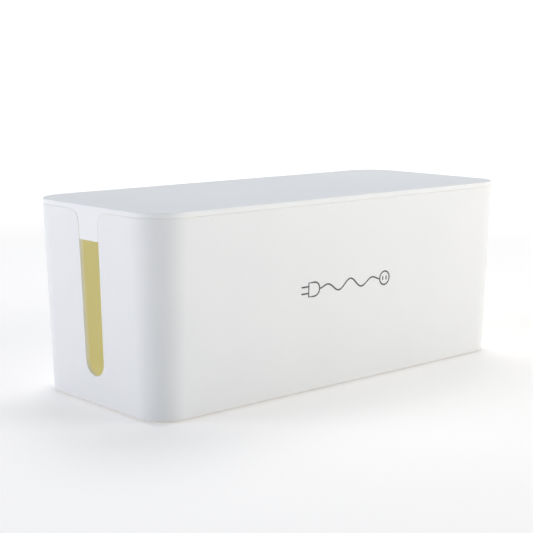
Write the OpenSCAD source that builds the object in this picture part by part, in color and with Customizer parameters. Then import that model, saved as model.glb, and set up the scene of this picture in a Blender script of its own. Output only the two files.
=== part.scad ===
// Cable management box, standing on four pads. The tub's walls lean in towards the
// floor, and each end wall has a slot for cables that is open at the rim. The lid
// lifts straight off, and its two tongues close the tops of the slots.

/* [Tub] */
// Length over the rim
tub_l = 320; // [280:5:360]
// Width over the rim
tub_w = 136; // [124:2:156]
// Height from the underside to the rim
tub_h = 122.5; // [110:0.5:135]
// Radius of the rim's corners, seen from above
corner_r = 24.5; // [20:0.5:30]
// Lean of the walls away from upright, in degrees
draft = 2; // [1:0.5:3]
// Thickness of the walls
wall_t = 2.6; // [2.2:0.1:3]
// Thickness of the floor
floor_t = 2.6; // [2.2:0.1:4]
// Radius round the edge of the underside
base_r = 1; // [0.5:0.5:3]
// Radius inside, between the walls and the floor
floor_r = 3; // [1:0.5:5]
// Diameter of the gate's dimple in the middle of the underside
gate_d = 8; // [4:1:16]
// Depth of the gate's dimple
gate_depth = 0.4; // [0.2:0.1:0.8]

/* [Cable slots] */
// Height of a slot's lowest point above the underside
slot_z = 18.3; // [14:0.1:40]
// Radius of the slot's round lower end
slot_r = 9.7; // [8:0.1:10]
// Half the slot's width where its shoulders begin
slot_mouth = 10.6; // [10:0.1:12]
// Radius of the shoulders that run out into the rim
shoulder_r = 8; // [6:0.5:10]

/* [Lid] */
// Height of the band that shows above the tub
band_h = 3.5; // [3:0.1:6]
// Thickness of the top plate
plate_t = 2.8; // [2:0.1:3]
// How far the band lies inside the tub's outer face
band_inset = 0.1; // [0:0.1:0.5]
// Depth of the tongues below the rim
tongue_drop = 18.4; // [14:0.1:24]
// Corner radius of the tongues
tongue_r = 1.2; // [0.5:0.1:2]
// Gap between a tongue and its slot
seam_gap = 0.3; // [0.3:0.05:0.6]
// Depth of the locating ribs below the rim
rib_drop = 6; // [3:0.5:10]
// Thickness of the locating ribs
rib_t = 1.8; // [1.2:0.1:2.4]
// Gap between the ribs and the tub's inner face
rib_gap = 0.5; // [0.4:0.1:1]
// Gap left in the ribs behind each tongue
rib_break = 52; // [44:1:70]
// Rounding of the ribs' lower edges
rib_edge_r = 0.4; // [0.2:0.1:0.5]

/* [Pads] */
// Diameter of a pad
pad_d = 14; // [10:1:18]
// How far a pad stands out of the underside
pad_proud = 1; // [0.5:0.1:2]
// Depth of the recess that holds a pad
pad_recess = 0.8; // [0.4:0.1:1.2]
// Gap round a pad in its recess
pad_gap = 0.2; // [0.1:0.1:0.4]
// Rounding of a pad's lower edge
pad_edge_r = 0.5; // [0.2:0.1:0.5]
// Distance from the underside's edges to a pad's centre
pad_inset = 20; // [16:1:30]

/* [Hidden] */

white_plastic = [0.93, 0.93, 0.92];
grey_rubber = [0.62, 0.62, 0.61];

corner_fn = 48;
round_fn = 64;
arc_steps = 5;
overrun = 2;

corner_x = tub_l / 2 - corner_r;
corner_y = tub_w / 2 - corner_r;
slot_low_z = slot_z + slot_r;
shoulder_z = tub_h - shoulder_r;
shoulder_y = slot_mouth + shoulder_r;
tongue_z = tub_h - tongue_drop;
slot_slope = (slot_mouth - slot_r) / (shoulder_z - slot_low_z);
tongue_half_w = slot_r - seam_gap + slot_slope * (tongue_z - slot_low_z);
lip_t = wall_t + rib_gap;
plate_low = tub_h + band_h - plate_t;
weld = 0.2;
end_x = tub_l / 2;
underside_inset = tub_h * tan(draft);
pad_x = end_x - underside_inset - pad_inset;
pad_y = tub_w / 2 - underside_inset - pad_inset;

// Radius of a corner at height z, for sides that lie inset inside the tub's outer face
// at height z_ref and lean at the given angle
function corner_radius(z, z_ref, inset, lean) = corner_r - inset - (z_ref - z) * tan(lean);

// Half section of a corner, as points of radius and height: a flat underside, a round
// edge that runs tangentially into the leaning side, and a flat top. An edge radius of 0
// leaves the lower edge sharp.
function corner_section(r_low, low, r_high, high, edge_r, lean) =
    let (cx = r_low + edge_r * tan(lean) - edge_r / cos(lean))
    concat(
        [[0, low]],
        edge_r == 0 ? [[r_low, low]] :
            [for (i = [0 : arc_steps])
                let (a = -90 + (90 - lean) * i / arc_steps)
                [cx + edge_r * cos(a), low + edge_r + edge_r * sin(a)]],
        [[r_high, high], [0, high]]
    );

// Block with the box's plan. Its sides lie inset inside the tub's outer face at height
// z_ref, and lean in below that.
module block(inset, low, high, edge_r, z_ref = tub_h, lean = draft) {
    r_low = corner_radius(low, z_ref, inset, lean);
    r_high = corner_radius(high, z_ref, inset, lean);
    hull()
        for (sx = [-1, 1], sy = [-1, 1])
            translate([sx * corner_x, sy * corner_y, 0])
                rotate_extrude($fn = corner_fn)
                    polygon(corner_section(r_low, low, r_high, high, edge_r, lean));
}

// A slot's outline, with the end wall's width along x and its height along y. The gap
// shrinks it on all sides.
module slot_outline(gap) {
    translate([0, slot_low_z])
        circle(r = slot_r - gap, $fn = round_fn);
    polygon([
        [-slot_r + gap, slot_low_z], [slot_r - gap, slot_low_z],
        [slot_mouth - gap, shoulder_z], [-slot_mouth + gap, shoulder_z]
    ]);
    difference() {
        translate([-shoulder_y, shoulder_z])
            square([2 * shoulder_y, shoulder_r + overrun]);
        for (side = [-1, 1])
            translate([side * shoulder_y, shoulder_z])
                circle(r = shoulder_r + gap, $fn = round_fn);
    }
}

// Everything in an end wall's outline above a tongue's lower edge and round corners
module tongue_reach() {
    inner = tongue_half_w - tongue_r;
    translate([-shoulder_y, tongue_z + tongue_r])
        square([2 * shoulder_y, tongue_drop]);
    translate([-inner, tongue_z])
        square([2 * inner, tongue_r]);
    for (side = [-1, 1])
        translate([side * inner, tongue_z + tongue_r])
            circle(r = tongue_r, $fn = round_fn);
}

// Extrudes an outline of the end wall through the wall at the left, side -1, or at the
// right, side 1
module through_end(side) {
    depth = underside_inset + lip_t + 2 * overrun;
    translate([side * (end_x + overrun - depth / 2) - depth / 2, 0, 0])
        rotate([90, 0, 90])
            linear_extrude(depth)
                children();
}

module pad_places() {
    for (sx = [-1, 1], sy = [-1, 1])
        translate([sx * pad_x, sy * pad_y, 0])
            children();
}

module tub() {
    color(white_plastic)
        translate([0, 0, pad_proud])
            difference() {
                block(0, 0, tub_h, base_r);
                block(wall_t, floor_t, tub_h + overrun, floor_r);
                for (side = [-1, 1])
                    through_end(side)
                        slot_outline(0);
                pad_places()
                    translate([0, 0, -overrun])
                        cylinder(d = pad_d + 2 * pad_gap, h = overrun + pad_recess, $fn = round_fn);
                translate([0, 0, -overrun])
                    cylinder(d = gate_d, h = overrun + gate_depth, $fn = round_fn);
            }
}

// The two tongues, flush with the band above them and leaning with the end walls
module tongues() {
    root_z = tub_h + weld;
    intersection() {
        difference() {
            block(band_inset, tongue_z - overrun, root_z, base_r, root_z);
            block(lip_t, tongue_z - 2 * overrun, root_z + overrun, base_r, root_z);
        }
        for (side = [-1, 1])
            through_end(side)
                intersection() {
                    slot_outline(seam_gap);
                    tongue_reach();
                }
    }
}

// The ribs inside the tub's rim, left out behind the tongues
module locating_ribs() {
    low = tub_h - rib_drop;
    difference() {
        block(lip_t, low, plate_low + weld, rib_edge_r);
        block(lip_t + rib_t, low - overrun, plate_low + overrun, rib_edge_r);
        for (side = [-1, 1])
            translate([side * end_x - rib_break / 2, -rib_break / 2, low - overrun])
                cube([rib_break, rib_break, plate_low - low + 2 * overrun]);
    }
}

module lid() {
    color(white_plastic)
        translate([0, 0, pad_proud]) {
            difference() {
                block(band_inset, tub_h, tub_h + band_h, edge_r = 0, lean = 0);
                block(lip_t, tub_h - overrun, plate_low, edge_r = 0, lean = 0);
            }
            locating_ribs();
            tongues();
        }
}

// One non-slip pad, stuck in its recess under the tub
module pad(sx, sy) {
    r = pad_d / 2;
    h = pad_proud + pad_recess;
    color(grey_rubber)
        translate([sx * pad_x, sy * pad_y, 0])
            rotate_extrude($fn = round_fn)
                union() {
                    translate([0, pad_edge_r])
                        square([r, h - pad_edge_r]);
                    square([r - pad_edge_r, pad_edge_r]);
                    translate([r - pad_edge_r, pad_edge_r])
                        circle(r = pad_edge_r, $fn = round_fn);
                }
}

tub();
lid();
pad(-1, -1);  // pad_front_left
pad(1, -1);  // pad_front_right
pad(-1, 1);  // pad_rear_left
pad(1, 1);  // pad_rear_right
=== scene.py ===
"""The looks of a white cable management box: a tub with a cable slot in each end wall, a
lid that lifts off, four pads underneath and a small printed mark on the front.

Everything is in metres, in the CAD frame: +X along the box, -Y is the front, +Z is up.
"""

import math

import bmesh
import bpy
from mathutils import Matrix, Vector


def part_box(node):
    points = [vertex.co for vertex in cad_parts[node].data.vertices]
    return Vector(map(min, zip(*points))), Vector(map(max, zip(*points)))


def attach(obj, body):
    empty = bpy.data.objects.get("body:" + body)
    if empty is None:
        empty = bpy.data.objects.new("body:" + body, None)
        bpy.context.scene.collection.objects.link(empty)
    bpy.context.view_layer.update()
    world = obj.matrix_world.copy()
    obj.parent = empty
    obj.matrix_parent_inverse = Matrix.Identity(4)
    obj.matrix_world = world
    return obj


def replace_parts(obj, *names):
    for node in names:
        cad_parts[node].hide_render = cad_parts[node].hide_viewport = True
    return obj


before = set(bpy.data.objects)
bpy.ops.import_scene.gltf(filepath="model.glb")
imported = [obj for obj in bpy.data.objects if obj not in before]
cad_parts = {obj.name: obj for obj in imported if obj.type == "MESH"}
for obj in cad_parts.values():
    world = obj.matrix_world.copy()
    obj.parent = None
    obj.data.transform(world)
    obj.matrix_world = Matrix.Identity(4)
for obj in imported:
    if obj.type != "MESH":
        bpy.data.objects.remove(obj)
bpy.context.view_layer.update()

# ---------------------------------------------------------------- sizes

MM = 0.001

tub_low, tub_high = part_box("tub")
lid_low, lid_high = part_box("lid")

# From the frame
HALF_L = tub_high.x
HALF_W = tub_high.y
BASE_Z = tub_low.z
RIM_Z = tub_high.z
TOP_Z = lid_high.z
TONGUE_Z = lid_low.z
BAND_INSET = HALF_L - lid_high.x
PADS = ("pad_front_left", "pad_front_right", "pad_rear_left", "pad_rear_right")

# The tub. LEAN is how far its walls lean in for each metre below the rim.
CORNER_R = 24.5 * MM
LEAN = math.tan(math.radians(2))
WALL_T = 2.6 * MM
FLOOR_T = 2.6 * MM
BASE_R = 1.0 * MM
FLOOR_R = 3.0 * MM
PAD_GAP = 0.2 * MM
GATE_R = 4.0 * MM
GATE_DEPTH = 0.4 * MM

# The slots in the tub's end walls, and the gap between them and the lid's tongues
SLOT_Z = BASE_Z + 18.3 * MM
SLOT_R = 9.7 * MM
SLOT_MOUTH = 10.6 * MM
SHOULDER_R = 8.0 * MM
SEAM_GAP = 0.3 * MM

# The lid. LID_LIFT is the fine gap that shows between its band and the tub's rim.
PLATE_T = 2.8 * MM
LIP_T = 3.1 * MM
LID_LIFT = 0.10 * MM
TONGUE_R = 1.2 * MM
RIB_T = 1.8 * MM
RIB_DROP = 6.0 * MM
RIB_ROOT = 0.3 * MM
RIB_END = 26.0 * MM
RIB_EDGE_R = 0.4 * MM

# Fine rounded edges
TUB_EDGE_R = 0.15 * MM
LID_EDGE_R = 0.15 * MM
LID_TOP_R = 0.6 * MM
PLATE_R = 0.8 * MM
RECESS_EDGE = 0.2 * MM

# How finely curves are divided
CORNER_STEPS = 24
SHOULDER_STEPS = 14
SLOT_STEPS = 36
EDGE_STEPS = 4
FILLET_STEPS = 6
RECESS_STEPS = 40

# The middle rows of vertices across a wall's edge, as parts of the wall's thickness
MIDDLE_ROWS = (0.35, 0.75)

# The angle between two faces from which the edge between them is left sharp
SHARP = math.radians(36)

CORNER_X = HALF_L - CORNER_R
CORNER_Y = HALF_W - CORNER_R
SLOT_LOW_Z = SLOT_Z + SLOT_R
SHOULDER_Z = RIM_Z - SHOULDER_R
SHOULDER_Y = SLOT_MOUTH + SHOULDER_R


# ---------------------------------------------------------------- walls with shaped edges


class Station:
    """A point on a wall's edge: where it is on the plan, the wall's outward normal there,
    its height, and the way out of the wall across the edge, as (along the wall, up)."""

    def __init__(self, plan, normal, z, along, up):
        self.plan = plan
        self.normal = normal
        self.z = z
        self.along = along
        self.up = up

    def at(self, inset=0.0, depth=0.0, z=None):
        """The point inset back from the edge and depth inside the wall's outer face. A
        height given as z replaces the edge's own."""
        tangent = Vector((-self.normal.y, self.normal.x))
        height = self.z - inset * self.up if z is None else z
        lean = max(0.0, RIM_Z - height) * LEAN
        plan = self.plan - tangent * inset * self.along - self.normal * (depth + lean)
        return Vector((plan.x, plan.y, height))


def arc(centre_u, centre_z, radius_u, radius_z, start, end, steps, outward):
    """Edge points (u, z, along, up) on an elliptical arc from start to end, in degrees.
    outward is 1 where the wall lies inside the arc and -1 where it lies outside."""
    points = []
    for i in range(steps + 1):
        a = math.radians(start + (end - start) * i / steps)
        c, s = math.cos(a), math.sin(a)
        points.append(
            (centre_u + radius_u * c, centre_z + radius_z * s, outward * c, outward * s)
        )
    return points


def slot_edge():
    """A tub's end wall along its rim: down one shoulder, round the slot and up the other."""
    left = arc(-SHOULDER_Y, SHOULDER_Z, SHOULDER_R, SHOULDER_R, 90, 0, SHOULDER_STEPS, 1)
    low = arc(0, SLOT_LOW_Z, SLOT_R, SLOT_R, 180, 360, SLOT_STEPS, -1)
    right = arc(SHOULDER_Y, SHOULDER_Z, SHOULDER_R, SHOULDER_R, 180, 90, SHOULDER_STEPS, 1)
    return left + low + right


def tongue_edge():
    """The lid's lower edge along an end wall, with the tongue that fills the slot's top."""
    slope = (SLOT_MOUTH - SLOT_R) / (SHOULDER_Z - SLOT_LOW_Z)
    half = SLOT_R + slope * (TONGUE_Z - SLOT_LOW_Z) - SEAM_GAP
    flare_u, flare_z = SHOULDER_R + SEAM_GAP, SHOULDER_R
    low = RIM_Z + LID_LIFT - SHOULDER_R
    left = arc(-SHOULDER_Y, low, flare_u, flare_z, 90, 0, SHOULDER_STEPS, -1)
    right = arc(SHOULDER_Y, low, flare_u, flare_z, 180, 90, SHOULDER_STEPS, -1)
    inner, corner_z = half - TONGUE_R, TONGUE_Z + TONGUE_R
    corners = arc(-inner, corner_z, TONGUE_R, TONGUE_R, 180, 270, FILLET_STEPS, 1)
    corners += arc(inner, corner_z, TONGUE_R, TONGUE_R, 270, 360, FILLET_STEPS, 1)
    return left + corners + right


def corner_turn(sx, sy, start, inset, z, up):
    """The stations of a quarter turn round the corner at the signs (sx, sy), anticlockwise
    from above. The wall faces the direction start, in radians, where the turn begins."""
    centre = Vector((sx * CORNER_X, sy * CORNER_Y))
    turn = []
    for i in range(CORNER_STEPS + 1):
        a = start + math.radians(90) * i / CORNER_STEPS
        normal = Vector((math.cos(a), math.sin(a)))
        turn.append(Station(centre + normal * (CORNER_R - inset), normal, z, 0, up))
    return turn


def edge_walk(inset, rim_z, up, end_edge):
    """The stations of a closed edge, anticlockwise from above and starting at the front
    right corner, with the indexes of those on the corners' arcs. The end walls have the
    points of end_edge, and the front and rear walls are straight."""
    stations, arcs = [], []
    for wall, (sx, sy) in enumerate([(1, -1), (1, 1), (-1, 1), (-1, -1)]):
        start = math.radians(90 * wall - 90)
        if wall % 2:
            normal = Vector((math.cos(start), math.sin(start)))
            tangent = Vector((-normal.y, normal.x))
            middle = normal * (HALF_L - inset)
            for u, z, along, rise in end_edge:
                stations.append(Station(middle + tangent * u, normal, z, along, rise))
        turn = corner_turn(sx, sy, start, inset, rim_z, up)
        arcs += range(len(stations), len(stations) + len(turn))
        stations += turn
    return stations, arcs


def quarter(radius, steps):
    """A rounded edge's section, as (inset, depth) from the outer face to the edge."""
    angles = [math.radians(90) * i / steps for i in range(steps + 1)]
    return [(radius * (1 - math.sin(a)), radius * (1 - math.cos(a))) for a in angles]


# ---------------------------------------------------------------- meshes


def new_bmesh():
    """An empty bmesh and its "inner" layer, which add_row fills."""
    bm = bmesh.new()
    return bm, bm.verts.layers.float.new("inner")


def add_row(bm, inner, points, value):
    """New vertices at the points. value says how far inside the box they are, from 0 on
    its outer faces to 1 on its inner ones."""
    row = [bm.verts.new(p) for p in points]
    for v in row:
        v[inner] = value
    return row


def join_rows(bm, a, b, closed=True):
    """A strip of faces between two rows of the same length."""
    count = len(a) if closed else len(a) - 1
    for i in range(count):
        j = (i + 1) % len(a)
        bm.faces.new((a[i], a[j], b[j], b[i]))


def join_in_order(bm, rows):
    """Strips of faces from the first row to the last. Returns those two."""
    for a, b in zip(rows, rows[1:]):
        join_rows(bm, a, b)
    return rows[0], rows[-1]


def edge_rows(bm, inner, stations, radius, thickness):
    """The rows of vertices across a wall's edge, from its outer face to its inner one,
    joined into a strip."""
    section = quarter(radius, EDGE_STEPS)
    rows = section + [(0, thickness * part) for part in MIDDLE_ROWS]
    rows += [(inset, thickness - depth) for inset, depth in reversed(section)]
    return join_in_order(bm, [
        add_row(bm, inner, [s.at(inset, depth) for s in stations], depth / thickness)
        for inset, depth in rows
    ])


def rings(bm, inner, corners, section, value):
    """Plain rings round the box, at each (z, depth) of the section, joined in order."""
    return join_in_order(bm, [
        add_row(bm, inner, [s.at(0, depth, z) for s in corners], value)
        for z, depth in section
    ])


def join_wall(bm, edge, arcs, ring, crease=False):
    """Faces from a shaped edge to a plain ring that has only the corners' vertices. Each
    end wall is one face, whatever its edge does, or with a crease two faces that meet in
    a straight line between the ends of its shaped part."""
    for k, first in enumerate(arcs):
        last = arcs[(k + 1) % len(arcs)]
        run = [first]
        while run[-1] != last:
            run.append((run[-1] + 1) % len(edge))
        wall = [edge[i] for i in run]
        if crease and len(wall) > 2:
            bm.faces.new(wall[1:-1])
            bm.edges.get((wall[1], wall[-2])).smooth = False
            wall = wall[:2] + wall[-2:]
        bm.faces.new(wall + [ring[(k + 1) % len(arcs)], ring[k]])


def fill(bm, loops):
    """Fills the flat region between an outer loop of vertices and any loops inside it."""
    edges = []
    for loop in loops:
        for i, v in enumerate(loop):
            w = loop[(i + 1) % len(loop)]
            edges.append(bm.edges.get((v, w)) or bm.edges.new((v, w)))
    bmesh.ops.triangle_fill(bm, use_beauty=True, edges=edges)


def finish_mesh(name, bm, body, material):
    """Turns a bmesh into a smooth-shaded piece that rides on a body."""
    bmesh.ops.recalc_face_normals(bm, faces=bm.faces)
    for face in bm.faces:
        face.smooth = True
    for edge in bm.edges:
        edge.smooth = edge.smooth and edge.calc_face_angle(0) < SHARP
    mesh = bpy.data.meshes.new(name)
    bm.to_mesh(mesh)
    bm.free()
    mesh.materials.append(material)
    obj = bpy.data.objects.new(name, mesh)
    bpy.context.scene.collection.objects.link(obj)
    normals = obj.modifiers.new("weighted_normals", "WEIGHTED_NORMAL")
    normals.keep_sharp = True
    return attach(obj, body)


# ---------------------------------------------------------------- shader nodes


def set_inputs(tree, node, inputs):
    """Gives a node's inputs their values. Where a value is another node's output, the two
    are linked."""
    for name, value in inputs.items():
        if isinstance(value, bpy.types.NodeSocket):
            tree.links.new(value, node.inputs[name])
        else:
            node.inputs[name].default_value = value


def add_node(tree, kind, inputs, **settings):
    """A new node. Its settings come first, as they can change which inputs it has."""
    node = tree.nodes.new(kind)
    for name, value in settings.items():
        setattr(node, name, value)
    set_inputs(tree, node, inputs)
    return node


def coordinates(tree, space):
    """The place of each point, in the "Object" or the "Generated" space."""
    return add_node(tree, "ShaderNodeTexCoord", {}).outputs[space]


def noise(tree, vector, scale, detail):
    """Soft noise between 0 and 1."""
    inputs = {"Vector": vector, "Scale": scale, "Detail": detail}
    return add_node(tree, "ShaderNodeTexNoise", inputs).outputs["Fac"]


def colour_ramp(tree, factor, *stops):
    """The colour at a factor, between stops that are each a position and an rgb colour."""
    ramp = add_node(tree, "ShaderNodeValToRGB", {"Fac": factor})
    elements = ramp.color_ramp.elements
    while len(elements) < len(stops):
        elements.new(1.0)
    for element, (position, rgb) in zip(elements, stops):
        element.position = position
        element.color = (*rgb, 1)
    return ramp.outputs["Color"]


def mix_in(tree, factor, colour, rgb):
    """A colour that turns into rgb as the factor goes from 0 to 1."""
    inputs = {"Factor": factor, "A": colour, "B": (*rgb, 1)}
    return add_node(tree, "ShaderNodeMix", inputs, data_type="RGBA").outputs["Result"]


def map_range(tree, value, start, end, low, high, shape="SMOOTHSTEP"):
    """A value between start and end, turned into one between low and high."""
    inputs = {"Value": value, "From Min": start, "From Max": end, "To Min": low, "To Max": high}
    node = add_node(tree, "ShaderNodeMapRange", inputs, interpolation_type=shape)
    return node.outputs["Result"]


def number_math(tree, operation, a, b):
    """The result of an operation on two numbers."""
    return add_node(tree, "ShaderNodeMath", {0: a, 1: b}, operation=operation).outputs["Value"]


def vector_math(tree, operation, *vectors, result="Vector"):
    """The result of an operation on one or two vectors: a "Vector", or a number, "Value"."""
    inputs = dict(enumerate(vectors))
    return add_node(tree, "ShaderNodeVectorMath", inputs, operation=operation).outputs[result]


def bump(tree, height, strength, distance):
    """The normal of a surface that a height between 0 and 1 makes rough."""
    inputs = {"Height": height, "Strength": strength, "Distance": distance}
    return add_node(tree, "ShaderNodeBump", inputs).outputs["Normal"]


def new_material(name):
    """A material, with its node tree and its Principled shader."""
    material = bpy.data.materials.new(name)
    material.use_nodes = True
    return material, material.node_tree, material.node_tree.nodes["Principled BSDF"]


# ---------------------------------------------------------------- materials

INNER_RGB = (0.86, 0.84, 0.76)

# How far the white of the plastic drifts down and up from its middle value
DULLER_BY = (0.01, 0.008, 0.008)
BRIGHTER_BY = (0.01, 0.01, 0.006)

# The way a seed shifts a plastic's patterns
SEED_SHIFT = (1, 0.37, 0.71)

# Painted light, a glow though no lamp: emission standing in for light through the thin walls,
# inside, and on their edges from the given part of the way in
PAINTED_GLOW_RGB = (0.124, 0.114, 0.052)
PAINTED_EDGE_GLOW_RGB = (0.07, 0.066, 0.045)
PAINTED_EDGE_GLOW_AT = 0.06

# Specks of dirt, one in some of the cells of a pattern that has SPECK_CELLS to a metre. A
# speck fades from SPECK_CORE to SPECK_RIM, its radii as parts of a cell.
SPECK_RGB = (0.40, 0.38, 0.34)
SPECK_CELLS = 120
SPECK_SHARE = 0.15
SPECK_RIM = 0.036
SPECK_CORE = 0.026
SPECK_STRENGTH = 0.6


def specks(tree, vector):
    """A factor that is 0 but for a few scattered specks of dirt, under 1 mm across."""
    inputs = {"Vector": vector, "Scale": SPECK_CELLS}
    cells = add_node(tree, "ShaderNodeTexVoronoi", inputs)
    near = map_range(
        tree, cells.outputs["Distance"], SPECK_RIM, SPECK_CORE, 0, SPECK_STRENGTH, "LINEAR"
    )
    chance = add_node(tree, "ShaderNodeSeparateColor", {"Color": cells.outputs["Color"]})
    few = number_math(tree, "GREATER_THAN", chance.outputs["Red"], 1 - SPECK_SHARE)
    return number_math(tree, "MULTIPLY", near, few)


def white_plastic(name, whiteness, seed):
    """Satin moulded plastic. Its colour goes from white outside to cream where the piece's
    "inner" attribute says that it faces the inside of the box, and there it also has a
    painted glow: an emission, though no lamp, that stands in for the light a thin wall
    lets through from outside. The seed shifts its patterns."""
    material, tree, shader = new_material(name)
    location = [seed * part for part in SEED_SHIFT]
    inputs = {"Vector": coordinates(tree, "Object"), "Location": location}
    place = add_node(tree, "ShaderNodeMapping", inputs).outputs["Vector"]

    cloud = noise(tree, place, scale=14, detail=3)
    dull = [whiteness - d for d in DULLER_BY]
    bright = [whiteness + d for d in BRIGHTER_BY]
    tone = colour_ramp(tree, cloud, (0.3, dull), (0.7, bright))

    attribute = add_node(tree, "ShaderNodeAttribute", {}, attribute_name="inner")
    inner = attribute.outputs["Fac"]
    cream = mix_in(tree, inner, tone, INNER_RGB)
    # Painted light: emission on the inner faces and the walls' edges, standing in for light let
    # through the thin walls
    glow = colour_ramp(
        tree, inner, (0, (0, 0, 0)), (PAINTED_EDGE_GLOW_AT, PAINTED_EDGE_GLOW_RGB), (1, PAINTED_GLOW_RGB)
    )
    grain = noise(tree, place, scale=1600, detail=2)
    set_inputs(tree, shader, {
        "Base Color": mix_in(tree, specks(tree, place), cream, SPECK_RGB),
        "Emission Color": glow,
        "Emission Strength": 1.0,
        "Normal": bump(tree, grain, strength=0.12, distance=0.05 * MM),
        "Roughness": map_range(tree, cloud, 0, 1, 0.46, 0.58, "LINEAR"),
        "IOR": 1.49,
        "Specular IOR Level": 0.4,
    })
    return material


def grey_rubber(name):
    """Matt rubber with a fine speckle."""
    material, tree, shader = new_material(name)
    speckle = noise(tree, coordinates(tree, "Object"), scale=900, detail=4)
    tone = colour_ramp(tree, speckle, (0, (0.14, 0.14, 0.14)), (1, (0.24, 0.24, 0.235)))
    set_inputs(tree, shader, {
        "Base Color": tone,
        "Normal": bump(tree, speckle, strength=0.3, distance=0.1 * MM),
        "Roughness": 0.8,
    })
    return material


def printed_ink(name):
    """Thin dark ink, a little uneven as a pad print is."""
    material, tree, shader = new_material(name)
    patch = noise(tree, coordinates(tree, "Object"), scale=700, detail=2)
    tone = colour_ramp(tree, patch, (0, (0.040, 0.034, 0.034)), (1, (0.075, 0.066, 0.064)))
    set_inputs(tree, shader, {"Base Color": tone, "Roughness": 0.5})
    return material


tub_plastic = white_plastic("tub_plastic", 0.895, 0.0)
lid_plastic = white_plastic("lid_plastic", 0.925, 3.1)
rubber = grey_rubber("pad_rubber")
ink = printed_ink("mark_ink")


# ---------------------------------------------------------------- tub and pads


def round_recess(bm, inner, centre, radius, depth):
    """A round recess that goes up into the tub's underside. Returns its rim's loop."""
    section = [(radius + RECESS_EDGE, 0), (radius, RECESS_EDGE)]
    section += [(radius, depth), (radius / 2, depth)]
    angles = [math.tau * i / RECESS_STEPS for i in range(RECESS_STEPS)]
    rows = []
    for r, rise in section:
        z = BASE_Z + rise
        points = [(centre.x + r * math.cos(a), centre.y + r * math.sin(a), z) for a in angles]
        rows.append(add_row(bm, inner, points, 0.0))
    rim, middle = join_in_order(bm, rows)
    bm.faces.new(middle)
    return rim


def build_tub():
    """The tub: its rim with the slots, the outer and inner faces, and the underside with
    recesses for the pads and the gate."""
    bm, inner = new_bmesh()
    stations, arcs = edge_walk(0, RIM_Z, 1, slot_edge())
    corners = [stations[i] for i in arcs]
    outer_edge, inner_edge = edge_rows(bm, inner, stations, TUB_EDGE_R, WALL_T)

    base = [(BASE_Z + i, d) for i, d in quarter(BASE_R, FILLET_STEPS)]
    side, under = rings(bm, inner, corners, base, 0.0)
    join_wall(bm, outer_edge, arcs, side)

    floor_z = BASE_Z + FLOOR_T
    well = [(floor_z + i, WALL_T + d) for i, d in quarter(FLOOR_R, FILLET_STEPS)]
    side, floor = rings(bm, inner, corners, well, 1.0)
    join_wall(bm, inner_edge, arcs, side)
    bm.faces.new(floor)

    holes = []
    for node in PADS:
        low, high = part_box(node)
        radius = (high.x - low.x) / 2 + PAD_GAP
        holes.append(round_recess(bm, inner, (low + high) / 2, radius, high.z - BASE_Z))
    holes.append(round_recess(bm, inner, Vector((0, 0, 0)), GATE_R, GATE_DEPTH))
    fill(bm, [under] + holes)
    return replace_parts(finish_mesh("tub_shell", bm, "tub", tub_plastic), "tub")


# ---------------------------------------------------------------- lid


def build_lid():
    """The lid: its lower edge with the tongues, the band and the top, and the underside of
    its plate."""
    bm, inner = new_bmesh()
    low = RIM_Z + LID_LIFT
    stations, arcs = edge_walk(BAND_INSET, low, -1, tongue_edge())
    corners = [stations[i] for i in arcs]
    outer_edge, inner_edge = edge_rows(bm, inner, stations, LID_EDGE_R, LIP_T)

    top = [(TOP_Z - i, d) for i, d in quarter(LID_TOP_R, FILLET_STEPS)]
    side, face = rings(bm, inner, corners, top, 0.0)
    join_wall(bm, outer_edge, arcs, side, crease=True)
    bm.faces.new(face)

    plate_low = TOP_Z - PLATE_T
    under = [(plate_low - i, LIP_T + d) for i, d in quarter(PLATE_R, FILLET_STEPS)]
    side, face = rings(bm, inner, corners, under, 1.0)
    join_wall(bm, inner_edge, arcs, side)
    bm.faces.new(face)
    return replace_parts(finish_mesh("lid_shell", bm, "lid", lid_plastic), "lid")


def build_rib(side):
    """A locating rib inside the rim, along the front (-1) or the rear (1) of the lid and
    round its corners, stopping short of the tongues."""
    bm, inner = new_bmesh()
    facing = math.radians(90 * side)
    stations = corner_turn(side, side, facing - math.radians(90), 0, RIM_Z, 1)
    stations += corner_turn(-side, side, facing, 0, RIM_Z, 1)
    start, end = [
        Station(Vector((s.plan.x, side * RIB_END)), s.normal, RIM_Z, 0, 1)
        for s in (stations[0], stations[-1])
    ]
    stations = [start, *stations, end]

    low, high = RIM_Z - RIB_DROP, TOP_Z - PLATE_T + RIB_ROOT
    edge = quarter(RIB_EDGE_R, EDGE_STEPS)
    section = [(high, LIP_T)]
    section += [(low + i, LIP_T + d) for i, d in edge]
    section += [(low + i, LIP_T + RIB_T - d) for i, d in reversed(edge)]
    section += [(high, LIP_T + RIB_T)]
    rows = [
        add_row(bm, inner, [s.at(0, depth, z) for s in stations], 1.0)
        for z, depth in section
    ]
    for a, b in zip(rows, rows[1:] + rows[:1]):
        join_rows(bm, a, b, closed=False)
    for k in (0, -1):
        bm.faces.new([row[k] for row in rows])
    name = "lid_rib_front" if side < 0 else "lid_rib_rear"
    return finish_mesh(name, bm, "lid", lid_plastic)


build_tub()
build_lid()
for side in (-1, 1):
    build_rib(side)

for node in PADS:
    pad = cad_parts[node].data
    pad.materials.clear()
    pad.materials.append(rubber)


# ---------------------------------------------------------------- printed mark

# The mark's middle, half its length, and half the height of the plug and the socket
MARK_X = -1.7 * MM
MARK_Z = BASE_Z + 67.5 * MM
MARK_HALF_L = 40.5 * MM
MARK_HALF_H = 4.6 * MM

# Strokes: their width, how far the ink stands off the wall, and the gap between the middle
# line of an outline and the end of a stroke beside it
STROKE_W = 1.0 * MM
FILM = 0.04 * MM
STROKE_GAP = 0.9 * MM
STROKE_END_STEPS = 8
CIRCLE_STEPS = 40

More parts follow.
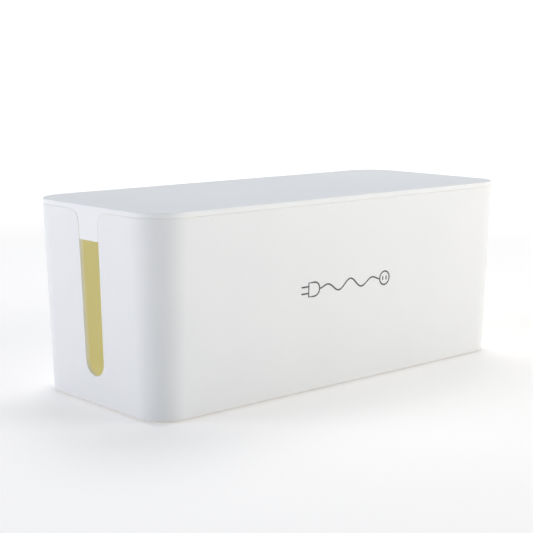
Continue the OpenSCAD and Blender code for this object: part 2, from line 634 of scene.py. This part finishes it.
PLUG_L = 5.0 * MM
PRONG_L = 6.0 * MM
PRONG_RISE = 2.2 * MM
CORD_WAVES = 2.5
CORD_SWING = 3.4 * MM
CORD_STEPS = 72
CONTACT_SHIFT = 1.6 * MM
CONTACT_HALF_H = 1.0 * MM


def front_point(x, z):
    """The point of the front wall's outer face at x and z."""
    lean = (RIM_Z - z) * LEAN
    return Vector((x, -(HALF_W - lean), z))


def round_end(tip, inside, half):
    """Points round the end of a stroke, from its left side to its right side, seen from
    inside towards the tip."""
    heading = math.atan2(tip[1] - inside[1], tip[0] - inside[0])
    steps = range(1, STROKE_END_STEPS)
    angles = [heading + math.radians(90 - 180 * i / STROKE_END_STEPS) for i in steps]
    return [(tip[0] + half * math.cos(a), tip[1] + half * math.sin(a)) for a in angles]


def stroke(bm, inner, points, closed=False):
    """A line of ink through points (x, z): a ring if closed, or else with round ends. Its
    back lies half a film's thickness inside the wall."""
    half = STROKE_W / 2
    count = len(points)
    left, right = [], []
    for i, (x, z) in enumerate(points):
        before = points[i - 1] if closed or i else points[0]
        after = points[(i + 1) % count] if closed or i < count - 1 else points[-1]
        dx, dz = after[0] - before[0], after[1] - before[1]
        size = math.hypot(dx, dz)
        nx, nz = -dz / size * half, dx / size * half
        left.append((x + nx, z + nz))
        right.append((x - nx, z - nz))
    if closed:
        outlines = [left, right]
    else:
        end = round_end(points[-1], points[-2], half)
        start = round_end(points[0], points[1], half)
        outlines = [left + end + right[::-1] + start]
    lift = Vector((0, -FILM, 0))
    tops, bottoms = [], []
    for outline in outlines:
        base = [front_point(x, z) for x, z in outline]
        bottom = add_row(bm, inner, [p - lift * 0.5 for p in base], 0.0)
        top = add_row(bm, inner, [p + lift for p in base], 0.0)
        join_rows(bm, bottom, top)
        tops.append(top)
        bottoms.append(bottom)
    fill(bm, tops)
    fill(bm, bottoms)


def curve(x, z, radius, start, end, steps):
    """Points (x, z) on a circle, in degrees anticlockwise from the right."""
    return [point[:2] for point in arc(x, z, radius, radius, start, end, steps, 1)]


def build_mark():
    """A plain pictogram of a plug, a wavy cord and a socket, from left to right."""
    bm, inner = new_bmesh()
    back = MARK_X - MARK_HALF_L + PRONG_L
    nose = back + PLUG_L
    plug = [(back, MARK_Z + MARK_HALF_H), (back, MARK_Z - MARK_HALF_H)]
    plug += curve(nose, MARK_Z, MARK_HALF_H, -90, 90, CIRCLE_STEPS // 2)
    stroke(bm, inner, plug, closed=True)
    for z in (MARK_Z - PRONG_RISE, MARK_Z + PRONG_RISE):
        stroke(bm, inner, [(back - PRONG_L, z), (back - STROKE_GAP, z)])

    socket_x = MARK_X + MARK_HALF_L - MARK_HALF_H
    start = nose + MARK_HALF_H + STROKE_GAP
    end = socket_x - MARK_HALF_H - STROKE_GAP
    cord = []
    for i in range(CORD_STEPS + 1):
        t = i / CORD_STEPS
        swing = CORD_SWING * math.sin(math.pi * t) ** 0.5
        z = MARK_Z + swing * math.sin(math.tau * CORD_WAVES * t)
        cord.append((start + (end - start) * t, z))
    stroke(bm, inner, cord)

    socket = curve(socket_x, MARK_Z, MARK_HALF_H, 0, 360, CIRCLE_STEPS)
    stroke(bm, inner, socket[:-1], closed=True)
    for x in (socket_x - CONTACT_SHIFT, socket_x + CONTACT_SHIFT):
        stroke(bm, inner, [(x, MARK_Z - CONTACT_HALF_H), (x, MARK_Z + CONTACT_HALF_H)])
    return finish_mesh("printed_mark", bm, "tub", ink)


build_mark()


# ---------------------------------------------------------------- stage, light and camera

# The floor glows faintly. The glow is FLOOR_GLOW up to NEAR_FLOOR from the middle and rises
# to FAR_FLOOR_GLOW at FAR_FLOOR, where the lights don't reach. Under the box a painted shadow
# dims it: up to FOOT_INSET inside the rim's outline it is SHADED_GLOW of that, and SHADE_REACH
# further out it is all of it.
FLOOR_REACH = 12.0
FLOOR_RGB = (0.86, 0.86, 0.86)
FLOOR_GLOW_RGB = (1.0, 0.93, 0.86)
FLOOR_GLOW = 0.29
FAR_FLOOR_GLOW = 0.90
NEAR_FLOOR = 0.6
FAR_FLOOR = 1.7
FOOT_INSET = 5.5 * MM
SHADE_REACH = 3 * MM
SHADED_GLOW = 0.7

# The world is HORIZON_RGB up to a height of HORIZON_TOP on a sphere of radius 1, and
# DOME_RGB above DOME_BASE. Its strength is 1 and falls to DIM_STRENGTH at the azimuth
# DIM_SIDE, beginning where the cosine of the angle to that side is DIM_EDGE.
HORIZON_RGB = (1.0, 1.0, 1.0)
HORIZON_TOP = 0.05
DOME_RGB = (0.23, 0.285, 0.345)
DOME_BASE = 0.20
DIM_SIDE = -32
DIM_EDGE = 0.70
DIM_STRENGTH = 0.05

# What the lights and the camera aim at. CAMERA_WAY is an azimuth and an elevation, and the
# sensor and the lens are in mm, as Blender has them.
LIGHT_AIM = Vector((0, 0, 0.06))
CAMERA_AIM = Vector((-0.01395, 0, BASE_Z + 0.0723))
CAMERA_WAY = (-41.5, 9.28)
CAMERA_DISTANCE = 0.8809
CAMERA_SENSOR = 36
CAMERA_LENS = 86.18


def way(azimuth, elevation):
    """The direction of a viewpoint or light seen from the box. Azimuth 0 is the front and
    goes towards the right end, in degrees."""
    a, e = math.radians(azimuth), math.radians(elevation)
    return Vector((math.sin(a) * math.cos(e), -math.cos(a) * math.cos(e), math.sin(e)))


def painted_shadow_under_box(tree, place):
    """A painted contact shadow: a factor that is lower on the floor under the box and rises to
    1 close outside it, dimming the floor's glow there.
    """
    foot = (HALF_L - FOOT_INSET, HALF_W - FOOT_INSET, 0)
    outside = vector_math(tree, "SUBTRACT", vector_math(tree, "ABSOLUTE", place), foot)
    outside = vector_math(tree, "MAXIMUM", outside, (0, 0, 0))
    distance = vector_math(tree, "LENGTH", outside, result="Value")
    return map_range(tree, distance, 0, SHADE_REACH, SHADED_GLOW, 1)


def build_stage():
    """A wide pale floor that stays white far from the lights."""
    bm = bmesh.new()
    signs = ((-1, -1), (1, -1), (1, 1), (-1, 1))
    bm.faces.new([bm.verts.new((sx * FLOOR_REACH, sy * FLOOR_REACH, 0)) for sx, sy in signs])
    mesh = bpy.data.meshes.new("floor")
    bm.to_mesh(mesh)
    bm.free()

    material, tree, shader = new_material("floor_paper")
    place = coordinates(tree, "Object")
    distance = vector_math(tree, "LENGTH", place, result="Value")
    glow = map_range(tree, distance, NEAR_FLOOR, FAR_FLOOR, FLOOR_GLOW, FAR_FLOOR_GLOW)
    set_inputs(tree, shader, {
        "Base Color": (*FLOOR_RGB, 1),
        "Roughness": 0.9,
        "Specular IOR Level": 0.0,
        "Emission Color": (*FLOOR_GLOW_RGB, 1),
        # The floor's glow is dimmed by a painted shadow under the box
        "Emission Strength": number_math(tree, "MULTIPLY", glow, painted_shadow_under_box(tree, place)),
    })
    mesh.materials.append(material)
    floor = bpy.data.objects.new("floor", mesh)
    bpy.context.scene.collection.objects.link(floor)


def build_world():
    """Light from all round, white at the horizon, dim overhead and on the camera's side."""
    world = bpy.data.worlds.new("studio")
    bpy.context.scene.world = world
    world.use_nodes = True
    tree = world.node_tree
    place = coordinates(tree, "Generated")
    height = add_node(tree, "ShaderNodeSeparateXYZ", {"Vector": place}).outputs["Z"]
    cosine = vector_math(tree, "DOT_PRODUCT", place, way(DIM_SIDE, 0), result="Value")
    set_inputs(tree, tree.nodes["Background"], {
        "Color": colour_ramp(tree, height, (HORIZON_TOP, HORIZON_RGB), (DOME_BASE, DOME_RGB)),
        "Strength": map_range(tree, cosine, DIM_EDGE, 1, 1, DIM_STRENGTH),
    })


def area_light(name, direction, distance, size, power, rgb):
    """A soft rectangular light in a direction (azimuth, elevation) that faces the box. Its
    power is in watts."""
    data = bpy.data.lights.new(name, "AREA")
    data.shape = "RECTANGLE"
    data.size, data.size_y = size
    data.energy = power
    data.color = rgb
    lamp = bpy.data.objects.new(name, data)
    lamp.location = LIGHT_AIM + way(*direction) * distance
    lamp.rotation_euler = (LIGHT_AIM - lamp.location).to_track_quat("-Z", "Y").to_euler()
    bpy.context.scene.collection.objects.link(lamp)


def build_camera():
    """The camera, looking down a little on the front left corner."""
    back = way(*CAMERA_WAY)
    data = bpy.data.cameras.new("camera")
    data.sensor_width = CAMERA_SENSOR
    data.lens = CAMERA_LENS
    camera = bpy.data.objects.new("camera", data)
    camera.location = CAMERA_AIM + back * CAMERA_DISTANCE
    camera.rotation_euler = (-back).to_track_quat("-Z", "Y").to_euler()
    bpy.context.scene.collection.objects.link(camera)
    bpy.context.scene.camera = camera


build_stage()
build_world()
area_light("front_light", (38, 20), 1.4, (0.8, 0.8), 7.95, (1.0, 0.94, 0.85))
area_light("end_light", (-119, 18), 1.6, (0.7, 0.8), 7.4, (0.94, 0.92, 0.985))
area_light("back_light", (135, 60), 1.7, (1.0, 1.0), 11.9, (1.0, 0.94, 0.89))
build_camera()
bpy.context.scene.view_settings.view_transform = "Standard"
